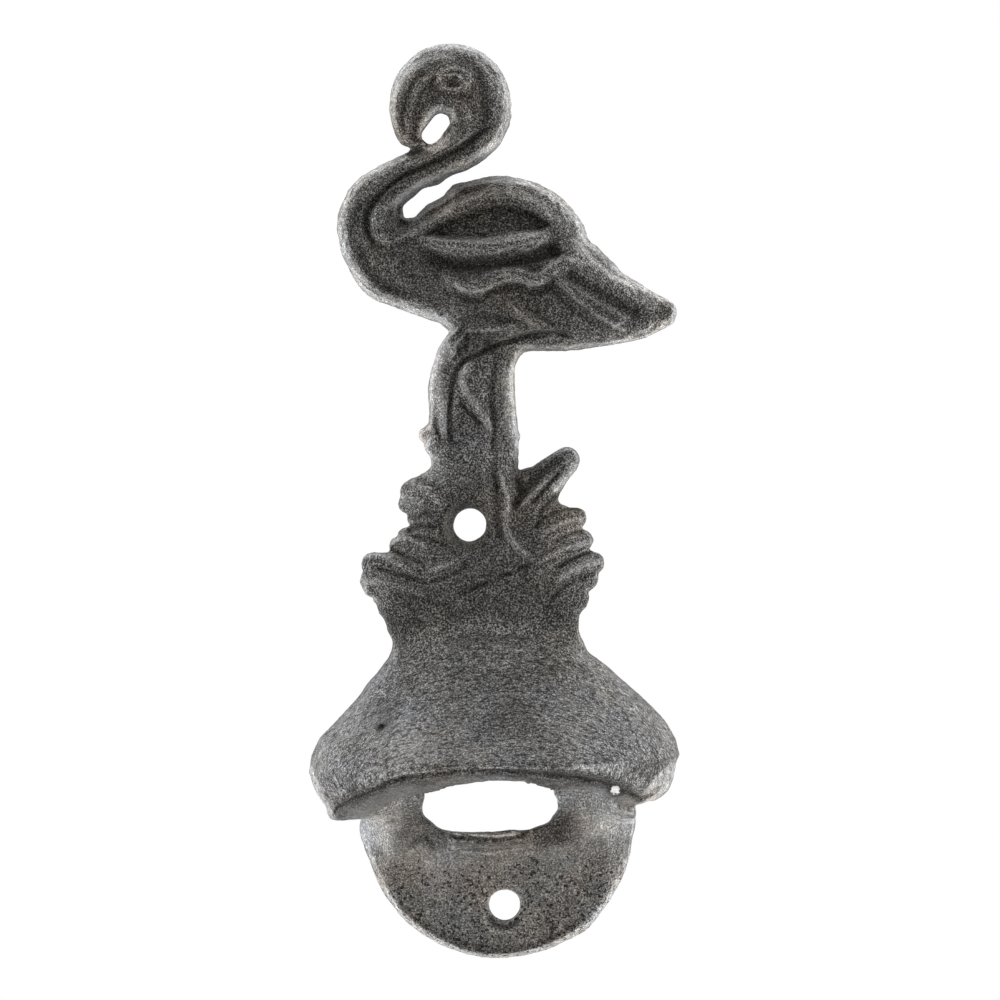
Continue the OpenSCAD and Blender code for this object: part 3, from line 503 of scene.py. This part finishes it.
def edges_of(mesh):
    """Pairs of points that are joined by an edge."""
    values = np.empty(len(mesh.edges) * 2, dtype=np.int32)
    mesh.edges.foreach_get("vertices", values)
    return values.reshape(-1, 2)


def put_points(mesh, co):
    """Moves the mesh's points to places in millimetres."""
    mesh.vertices.foreach_set("co", (co * MM).ravel())
    mesh.update()


def neighbour_mean(values, edges):
    """Mean of each point's neighbours."""
    a, b = edges.T
    n = len(values)
    total = np.bincount(a, values[b], n) + np.bincount(b, values[a], n)
    return total / np.maximum(np.bincount(a, minlength=n) + np.bincount(b, minlength=n), 1)


def melt(co, edges, share, rounds, axes=(0, 1, 2)):
    """Softens the skin where the share isn't close to 0."""
    touched = share > 0.001
    near = edges[touched[edges].any(1)]
    spot = np.unique(near)
    near = np.searchsorted(spot, near)
    weight = 0.5 * np.where(touched, share, 0)[spot]
    for axis in axes:
        level = co[spot, axis]
        for _ in range(rounds):
            level += weight * (neighbour_mean(level, near) - level)
        co[spot, axis] = level


def ground_and_bird(co, edges):
    """Levels the ground's field with the grass and runs the bird's forms into one another."""
    flat = co[:, [0, 2]]
    x, z = co[:, 0], co[:, 2]
    field = patch_share(flat, GROUND_FIELD, 1.6) * ease(*HOLE_RING, np.hypot(x, z))
    co[:, 1] -= GROUND_FILL * field * ease(3.5, 4.6, -co[:, 1])
    web = patch_share(flat, LEG_FIELD, 1.2) * ease(3.4, 4.4, -co[:, 1])
    co[:, 1] += web * (np.minimum(co[:, 1], WEB_LEVEL) - co[:, 1])
    deep = ease(1.6, 2.8, -co[:, 1])
    for *heights, rounds in MELT_BANDS:
        melt(co, edges, deep * band(*heights, z), rounds, DEPTH_ONLY)
    # The ground's face runs into the hood's, and so does its outline on both sides
    melt(co, edges, ease(0.3, 1.0, -co[:, 1]) * (1 - ease(2.0, 5.5, np.abs(z - SHOULDER_Z))), 40)
    sides = ease(13, 15, np.abs(x - HOOD_X))
    melt(co, edges, (1 - ease(2.0, 4.0, np.abs(z - SHOULDER_Z))) * sides, 60, OUTLINE_ONLY)
    # The lower end of the hood's right wing
    melt(co, edges, ease(30, 33, x) * (1 - ease(-49, -46, z)), 70)
    for corner_x, corner_z, reach in CORNERS:
        melt(co, edges, 1 - ease(0.5 * reach, reach, np.hypot(x - corner_x, z - corner_z)), 60)


def plate_edge(co, edges):
    """Draws the plate's front edge back, widely at the flanks and narrowly at the foot."""
    x, y, z = co.T
    round_end = z < PLATE[1]
    out_x, out_z = x - PLATE[0], np.where(round_end, z - PLATE[1], 0)
    reach = np.maximum(np.hypot(out_x, out_z), 1e-6)
    inward = PLATE_R - reach
    high = ease(-72, -58, z)
    width = EDGE_WIDTH + EDGE_WIDER * high
    edge = EDGE_START - EDGE_LOWER * high
    tall = PLATE_T - edge
    along = np.clip((-y - edge) / tall, 0, 1) * tall + np.maximum(inward, 0)
    u = np.clip(along / (tall + width), 0, 1)
    share = (1 - ease(-56.4, -55.1, z)) * (inward < width) * (-y > edge)
    pull = share * (width * u - inward) / reach
    co[:, 0] -= pull * out_x
    co[:, 2] -= pull * out_z
    co[:, 1] = y * (1 - share) - (PLATE_T - tall * (1 - u) ** 2) * share
    melt(co, edges, (1 - ease(-56, -54, z)) * (1 - ease(4, 8, inward)) * ease(0.3, 0.8, -co[:, 1]), 12)


def gap_from_rim(co):
    """How far each point is from the rim of the gap between bill and neck, seen from the front."""
    row = spline(GAP_RIM + GAP_RIM[:1])
    beside, above = np.abs(co[:, 0] - GAP_MIDDLE[0]), np.abs(co[:, 2] - GAP_MIDDLE[1])
    near = np.nonzero((beside < GAP_REACH) & (above < GAP_REACH))[0]
    gap = np.full(len(co), 1.5 * GAP_REACH)
    gap[near] = np.linalg.norm(co[near][:, None, [0, 2]] - row[None, :, :], axis=2).min(1)
    return gap


def gap_rim(co):
    """Rounds back the rim of the gap between bill and neck."""
    gap = gap_from_rim(co)
    depth = GAP_DEPTH - GAP_ROUND * np.clip(1 - gap / GAP_ROUND, 0, 1) ** 1.5
    close = gap < GAP_ROUND
    co[close, 1] = np.maximum(co[close, 1], -depth[close])


def nudge(co):
    """Moves the outline by listed amounts and hangs the rim's lip."""
    for x, z, reach, move_x, move_z in NUDGES:
        share = np.clip(1 - ((co[:, 0] - x) ** 2 + (co[:, 2] - z) ** 2) / reach**2, 0, 1) ** 2
        co[:, 0] += move_x * share
        co[:, 2] += move_z * share
    under = under_rim(co)
    co[:, 2] -= np.interp(co[:, 0], LIP_X, LIP_DROP) * ease(0, 1.6, under) * ease(9, 13, -co[:, 1])


def carve(co, normal):
    """Carves the drawn lines, the groove along the rim, the wing's lens and panel, the eye and the gas pit."""
    flat = co[:, [0, 2]]
    front = ease(1.2, 2.8, -co[:, 1]) * ease(0.05, 0.45, -normal[:, 1])
    rise = np.zeros(len(co))
    for points, half_width, height, _ in DRAWN_LINES:
        rise += height * line_share(flat, points, half_width)
    rise -= RIM_GROOVE_DEPTH * ridge(*RIM_GROOVE, under_rim(co)) * ease(*RIM_DEPTHS, -co[:, 1])
    rise -= LENS_DEPTH * patch_share(flat, LENS, 1.0) + PANEL_DEPTH * patch_share(flat, PANEL, 1.0)
    eye = from_eye(flat)
    rise += 0.4 * ridge(2.2, 0.5, eye) - 0.25 * ridge(1.3, 0.4, eye)
    rise -= 0.4 * (1 - ease(0.3, 0.8, reach_from(flat - EYE, EYE_DIMPLE)))
    rise -= PIT_DEPTH * (1 - ease(0.2, 0.7, reach_from(flat, PIT)))
    co[:, 1] -= rise * front


def roughen(co, normal):
    """The uneven skin that a sand mould leaves, coarse enough to show at the outline."""
    swell = np.array([noise.noise(Vector(p) / SWELL_SIZE) for p in co])
    grit = np.array([noise.noise(Vector(p) / GRIT_SIZE + GRIT_PLACE) for p in co])
    grit *= GRIT_HEIGHT + GRIT_EXTRA * ease(-24, -18, co[:, 2])
    rise = (SWELL_HEIGHT * swell + grit - SKIN_BACK) * ease(0.3, 0.9, -co[:, 1])
    co += normal * rise[:, None]


def thin_out(casting):
    """Fewer triangles where the skin is flat."""
    triangles = sum(len(p.vertices) - 2 for p in casting.data.polygons)
    if triangles > MOST_TRIANGLES:
        fewer = casting.modifiers.new("fewer", "DECIMATE")
        fewer.ratio = MOST_TRIANGLES / triangles
        apply_modifiers(casting)
    for p in casting.data.polygons:
        p.use_smooth = True


def zones(co, normal):
    """How far each point belongs to each region of the casting, from 0 to 1."""
    z, deep, forward = co[:, 2], -co[:, 1], -normal[:, 1]
    on = SimpleNamespace(flat=co[:, [0, 2]], under=under_rim(co))
    on.shown = ease(0.1, 0.8, deep)
    on.front = ease(1.0, 2.4, deep)
    on.facing = ease(0.72, 0.96, forward)
    on.slope = ease(0.06, 0.55, 1 - np.abs(forward)) * ease(0.5, 1.5, deep)
    on.slope *= 0.3 + 0.7 * ease(0.05, 0.35, forward)
    above_hood = ease(-24, -20, z)
    legs = band(11, 15, 30, 34, z)
    on.bird = ease(32, 36, z)
    on.grass = band(-24, -20, 11, 15, z)
    on.raised = above_hood * ease(3.8, 6, deep - 1.2 * on.bird) * (1 - 0.8 * legs)
    on.hood = (1 - above_hood) * np.maximum(ease(5.5, 8, deep), ease(-50, -45, z))
    on.rim = ease(*RIM_DEPTHS, deep)
    on.plate = band(-72, -66, -56, -53, z)
    on.lens = patch_share(on.flat, LENS, 1.0)
    return on


def relief_tone(co, edges, on):
    """Soot and painted shade in the carved lines and hollows, and rubbing and painted light on what stands up
    beside them.
    """
    tone = np.zeros(len(co))
    for points, half_width, _, shade in DRAWN_LINES:
        tone += shade * line_share(on.flat, points, half_width * 1.1)
    # Painted shade in the sunk lens and panel
    tone -= LENS_SHADE * patch_share(on.flat, LENS, 0.6) + PANEL_SHADE * patch_share(on.flat, PANEL, 0.9)
    eye = from_eye(on.flat)
    # The eye: painted light on its raised ring and inside it, painted shade just outside the ring, and a dark
    # middle as the shade of its dimple
    tone += 0.35 * ridge(2.1, 0.5, eye) - 0.3 * ridge(3.1, 0.5, eye)
    tone += (0.25 - 0.9 * (1 - ease(0.2, 0.7, eye))) * (1 - ease(1.3, 1.9, eye))
    # Hollows painted darker and what stands forward painted paler, as soot and rubbing and as painted shade and
    # light; not on the rim
    level = co[:, 1].copy()
    for _ in range(16):
        level += 0.5 * (neighbour_mean(level, edges) - level)
    tone += 0.25 * np.clip((level - co[:, 1]) / 0.25, -1, 1) * (1 - on.rim)
    # A painted highlight round the rounded-back rim of the gap between bill and neck
    gap = 0.5 * ridge(0.7, 0.8, gap_from_rim(co)) * ease(3, 5, -co[:, 1])
    return tone * on.front + gap


def face_tone(on):
    """How pale the front faces are at each height, the slopes round them made paler by rubbing and painted side
    light, and the grass darker away from its front faces.
    """
    x, z = on.flat.T
    arch = 3.6 * ((x - HOOD_X) / 18) ** 2 - 2.8
    height = z + arch * (1 - ease(4, 10, np.abs(z + 20)))
    # Painted light on the slopes, as the side light falls on them, with rubbing; less on the bird, plate, raised
    # parts and grass, none on the hood
    slopes = (0.95 - 0.1 * on.bird - 0.1 * on.plate) * on.slope
    slopes *= (1 - 0.8 * on.raised) * (1 - 0.5 * on.grass) * (1 - on.hood)
    return np.interp(height, PALE_Z, PALE_AND_LIT) * on.facing + slopes - 0.25 * on.grass * (1 - on.facing)


def hood_tone(normal, on):
    """Painted shade on the rim's band and groove, in the pit and round the chip; painted light under the lip, on
    the hood's ends and, with rubbing, on its slopes.
    """
    x, z = on.flat.T
    # A painted highlight on the lip's downward-facing underside, and painted shade on the band under the rim's edge
    tone = 0.4 * ease(0.6, 0.85, -normal[:, 2]) * ease(0.8, 1.4, on.under) - 0.35 * ease(0.2, 0.8, on.under)
    # Painted shade in the rim's groove and on the strip just above it
    tone -= RIM_GROOVE_SHADE * ridge(*RIM_GROOVE, on.under) + 0.35 * ridge(-1.2, 0.7, on.under)
    # A painted shadow round the chip's edge
    tone -= 0.9 * ridge(1.15, 0.3, reach_from(on.flat, CHIP))
    # Painted shade in the gas pit
    beside, above = x - PIT[0], z - PIT[1]
    pit = PIT_SHADE * (1 - ease(0.3, 0.7, np.hypot(0.6 * beside, above - 0.4 * beside)))
    # Painted light on the hood's end walls, which turn down and out to the sides
    left_end = ease(-0.2, 0.4, np.interp(z, LEFT_END_Z, LEFT_END_X) - x)
    right_end = ease(-0.2, 0.4, x - np.interp(z, RIGHT_END_Z, RIGHT_END_X))
    ends = (0.55 * left_end + 0.65 * right_end) * (1 - ease(-45.5, -43.5, z))
    # Rubbing and painted light on the hood's slopes, more where they face up
    slopes = 0.42 * on.slope * (0.35 + 0.65 * ease(0.05, 0.3, normal[:, 2]))
    return on.rim * tone - on.front * pit + on.hood * (slopes + ends)


def plate_tone(co, on):
    """Painted light on the plate behind the slot, in the hood's shade, and on the downward-facing edge of its foot,
    with painted shade inside that edge.
    """
    z, deep = co[:, 2], -co[:, 1]
    # Painted light on the plate behind the slot, where the hood's shade falls
    behind = band(-60, -57, -46, -43, z) * band(2, 4, 6, 8, deep)
    inward = PLATE_R - reach_from(on.flat, PLATE)
    # Painted light along the foot's downward-facing edge and painted shade just inside it
    foot = 1 - ease(-76, -70, z)
    return 0.15 * behind + foot * (0.9 * ridge(0.4, 0.6, inward) - 0.5 * ridge(2.0, 0.6, inward))


def keep_per_point(mesh, name, values):
    """Keeps one value for each point, for the iron's finish to read."""
    mesh.attributes.new(name, "FLOAT", "POINT").data.foreach_set("value", values.astype(np.float32))


def weather_and_painted_light(casting):
    """Soot, rubbing and painted light and shade, brown stains, sand, streaks, gas pits and the bare chip."""
    mesh = casting.data
    co, normal = points_of(mesh), normals_of(mesh)
    on = zones(co, normal)
    x, z = on.flat.T
    tone = relief_tone(co, edges_of(mesh), on) + face_tone(on) + hood_tone(normal, on) + plate_tone(co, on)
    # The tone: soot and painted shade below 0, rubbing and painted light above 0
    keep_per_point(mesh, "tone", np.clip((tone + spots(on.flat, RUBBED_AND_LIT)) * on.shown, -1, 1))
    keep_per_point(mesh, "warm", np.clip(spots(on.flat, STAINS) * on.shown, -1, 1))
    # The lip, the skin round the pit and the ring left of the upper hole are smoother than the rest
    lip = on.rim * ease(0.4, 1.0, on.under)
    hole_ring = (1 - ease(4.2, 4.8, np.hypot(x + 0.5, z))) * (1 - ease(0, 2, x))
    smooth = np.maximum(lip, np.maximum(spots(on.flat, CALM_SKIN), hole_ring))
    below = (1 - ease(-56, -52, z)) * (1 - on.rim)
    keep_per_point(mesh, "sandy", 0.85 + 0.15 * on.lens - 0.15 * on.hood - 0.25 * below - 0.4 * smooth)
    streaky = 0.1 + 0.8 * on.hood + 0.45 * on.slope * (1 - on.hood) + 0.8 * on.lens - 0.5 * smooth
    keep_per_point(mesh, "streaky", np.clip(streaky, 0, 1) * on.shown)
    keep_per_point(mesh, "pitted", 0.15 + 0.85 * (1 - ease(-67, -60, z)))
    keep_per_point(mesh, "chip", np.clip(CHIP_REACH - reach_from(on.flat, CHIP), 0, 1) * on.rim)


def cast_iron():
    """Bare dark iron with a sand grain, small pits, warm and cool stains, soot and painted shade, paler rubbed
    edges and painted light, and painted glints.
    """
    iron = bpy.data.materials.new("cast_iron")
    iron.use_nodes = True
    nodes, links = iron.node_tree.nodes, iron.node_tree.links
    shader = nodes["Principled BSDF"]
    place = nodes.new("ShaderNodeTexCoord")

    def feed(socket, value):
        """Links a socket to another one, or sets its value."""
        if isinstance(value, bpy.types.NodeSocket):
            links.new(value, socket)
        else:
            socket.default_value = value

    def grain(scale, detail, deep=1.0):
        """A noise, squeezed along the depth."""
        squeeze = nodes.new("ShaderNodeMapping")
        squeeze.inputs["Scale"].default_value = (1, deep, 1)
        links.new(place.outputs["Object"], squeeze.inputs["Vector"])
        made = nodes.new("ShaderNodeTexNoise")
        made.inputs["Scale"].default_value = scale
        made.inputs["Detail"].default_value = detail
        made.inputs["Roughness"].default_value = 0.5
        links.new(squeeze.outputs["Vector"], made.inputs["Vector"])
        return made.outputs["Fac"]

    def kept(name):
        """What weather() kept for each point."""
        made = nodes.new("ShaderNodeAttribute")
        made.attribute_name = name
        return made.outputs["Fac"]

    def sums(operation, *values):
        """One step of arithmetic."""
        made = nodes.new("ShaderNodeMath")
        made.operation = operation
        for socket, value in zip(made.inputs, values):
            feed(socket, value)
        return made.outputs[0]

    def ramp(value, *stops):
        """A value turned into greys or colours."""
        made = nodes.new("ShaderNodeValToRGB")
        elements = made.color_ramp.elements
        while len(elements) < len(stops):
            elements.new(0.5)
        for element, (position, colour) in zip(elements, stops):
            element.position = position
            element.color = (*colour, 1) if isinstance(colour, tuple) else (colour, colour, colour, 1)
        links.new(value, made.inputs["Fac"])
        return made.outputs["Color"]

    def mix(kind, share, low, high):
        """Two colours mixed, multiplied or added."""
        made = nodes.new("ShaderNodeMix")
        made.data_type = "RGBA"
        made.blend_type = kind
        for socket, value in (("Factor_Float", share), ("A_Color", low), ("B_Color", high)):
            feed(next(i for i in made.inputs if i.identifier == socket), value)
        return next(o for o in made.outputs if o.identifier == "Result_Color")

    def bump(height, distance):
        """A relief in the finish."""
        made = nodes.new("ShaderNodeBump")
        made.inputs["Strength"].default_value = 1
        made.inputs["Distance"].default_value = distance
        links.new(height, made.inputs["Height"])
        return made

    sand = grain(SAND, 1, 1.6)
    patch = grain(PATCH, 2)
    cloud = grain(CLOUD, 3)
    pits = grain(PITTING, 1)

    # Cool to brown iron, cloudy, then darker with soot and painted shade and paler with rubbing and painted light
    warmth = sums("MULTIPLY_ADD", kept("warm"), 0.2, patch)
    skin = ramp(warmth, (0.28, COOL_IRON), (0.5, PLAIN_IRON), (0.72, BROWN_IRON))
    skin = mix("MULTIPLY", 1.0, skin, ramp(cloud, (0.3, 0.8), (0.7, 1.15)))
    tone = sums("MULTIPLY_ADD", kept("tone"), 0.5, 0.5)
    skin = mix("MULTIPLY", 1.0, skin, ramp(tone, (0.0, SOOT_AND_SHADE), (0.5, 1.0), (0.75, RUB_AND_LIGHT), (1.0, RUB_AND_HIGHLIGHT)))
    # Specks of sand, darker in the hollows of the sand's bumps and paler on their tops as painted shade and light,
    # fewer where the tone is pale; streaks that stand in for the shading of the grain's relief; and bright grains
    # painted as glints
    specks = ramp(sand, (0.38, 0.0), (0.45, 0.55), (0.55, 1.25), (0.65, 2.9))
    share = sums("MULTIPLY", ramp(tone, (0.58, 1.0), (0.78, 0.5)), kept("sandy"))
    skin = mix("MULTIPLY", share, skin, specks)
    streaks = ramp(grain(STREAK, 1, 3.0), (0.34, 0.25), (0.46, 0.95), (0.66, 1.55))
    skin = mix("MULTIPLY", kept("streaky"), skin, streaks)
    skin = mix("ADD", 1.0, skin, ramp(sand, (0.56, 0.0), (0.7, 0.05)))
    # Small gas pits, painted darker as the shade in their dents, and the ragged bare chip, painted near white as a
    # glint
    hole = ramp(sums("MULTIPLY_ADD", kept("pitted"), 0.16, pits), (0.76, 1.0), (0.8, 0.2))
    skin = mix("MULTIPLY", 1.0, skin, hole)
    chip = sums("MULTIPLY_ADD", pits, 0.9, sums("SUBTRACT", kept("chip"), 0.45))
    skin = mix("MIX", ramp(chip, (0.45, 0.0), (0.55, 1.0)), skin, BARE_CHIP_AND_GLINT)
    links.new(skin, shader.inputs["Base Color"])
    links.new(ramp(cloud, (0.3, 0.4), (0.7, 0.5)), shader.inputs["Roughness"])

    dents = bump(hole, PITTING_HEIGHT)
    grit = bump(sand, SAND_HEIGHT)
    links.new(dents.outputs["Normal"], grit.inputs["Normal"])
    links.new(grit.outputs["Normal"], shader.inputs["Normal"])
    shader.inputs["Metallic"].default_value = 0.0
    shader.inputs["Specular IOR Level"].default_value = 0.08
    return iron


def white_to_the_eye(nodes, links):
    """1 for rays that see the background directly, in a reflection or through glass."""
    path = nodes.new("ShaderNodeLightPath")
    most = path.outputs["Is Camera Ray"]
    for name in ("Is Glossy Ray", "Is Transmission Ray"):
        either = nodes.new("ShaderNodeMath")
        either.operation = "MAXIMUM"
        links.new(most, either.inputs[0])
        links.new(path.outputs[name], either.inputs[1])
        most = either.outputs[0]
    return most


def background(scene):
    """Even light from all round, and plain white where it is seen."""
    world = bpy.data.worlds.new("studio")
    scene.world = world
    world.use_nodes = True
    nodes, links = world.node_tree.nodes, world.node_tree.links
    light = nodes["Background"]
    light.inputs["Color"].default_value = WHITE
    light.inputs["Strength"].default_value = ROUND_LIGHT
    white = nodes.new("ShaderNodeBackground")
    white.inputs["Color"].default_value = WHITE
    white.inputs["Strength"].default_value = 1
    either = nodes.new("ShaderNodeMixShader")
    links.new(white_to_the_eye(nodes, links), either.inputs["Fac"])
    links.new(light.outputs[0], either.inputs[1])
    links.new(white.outputs[0], either.inputs[2])
    links.new(either.outputs[0], nodes["World Output"].inputs["Surface"])


def softboxes(scene):
    """Square lamps at the sides and above, turned to the upper hole."""
    for name, place, power in SOFTBOXES:
        lamp = bpy.data.lights.new(name, "AREA")
        lamp.size = SOFTBOX_SIZE
        lamp.energy = power
        box = bpy.data.objects.new(name, lamp)
        box.location = place
        box.rotation_mode = "QUATERNION"
        box.rotation_quaternion = (Vector((0, 0, 0)) - Vector(place)).to_track_quat("-Z", "Y")
        scene.collection.objects.link(box)


def pale_floor(scene):
    """A round floor below the opener."""
    bm = bmesh.new()
    bmesh.ops.create_circle(bm, cap_ends=True, segments=64, radius=FLOOR_RADIUS)
    bmesh.ops.translate(bm, verts=bm.verts, vec=(0, 0, FLOOR_LEVEL))
    mesh = bpy.data.meshes.new("floor")
    bm.to_mesh(mesh)
    bm.free()
    floor = bpy.data.objects.new("floor", mesh)
    scene.collection.objects.link(floor)
    pale = bpy.data.materials.new("pale_floor")
    pale.use_nodes = True
    paint = pale.node_tree.nodes["Principled BSDF"]
    paint.inputs["Base Color"].default_value = FLOOR_COLOUR
    paint.inputs["Roughness"].default_value = FLOOR_ROUGHNESS
    mesh.materials.append(pale)


def front_camera(scene):
    """The camera, square in front of the opener."""
    camera = bpy.data.objects.new("camera", bpy.data.cameras.new("camera"))
    camera.data.sensor_width = SENSOR
    camera.data.lens = SENSOR * CAMERA_AWAY / SEEN_WIDTH
    camera.location = (CAMERA_X, -CAMERA_AWAY, CAMERA_Z)
    camera.rotation_euler = (math.radians(90), 0, 0)
    scene.collection.objects.link(camera)
    scene.camera = camera


def studio():
    """Background, softboxes, floor and camera."""
    scene = bpy.context.scene
    scene.view_settings.view_transform = "Standard"
    background(scene)
    softboxes(scene)
    pale_floor(scene)
    front_camera(scene)


casting = fused_casting()
skin_edges = edges_of(casting.data)
skin_points = points_of(casting.data)
ground_and_bird(skin_points, skin_edges)
plate_edge(skin_points, skin_edges)
gap_rim(skin_points)
nudge(skin_points)
put_points(casting.data, skin_points)
carve(skin_points, normals_of(casting.data))
put_points(casting.data, skin_points)
roughen(skin_points, normals_of(casting.data))
skin_points[:, 1] = np.minimum(skin_points[:, 1], 0)
put_points(casting.data, skin_points)
thin_out(casting)
lowest, highest = np.array(cad_box[0]) / MM, np.array(cad_box[1]) / MM
put_points(casting.data, np.clip(points_of(casting.data), lowest, highest))
weather_and_painted_light(casting)
casting.data.materials.clear()
casting.data.materials.append(cast_iron())
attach(casting, "root")
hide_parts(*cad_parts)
studio()
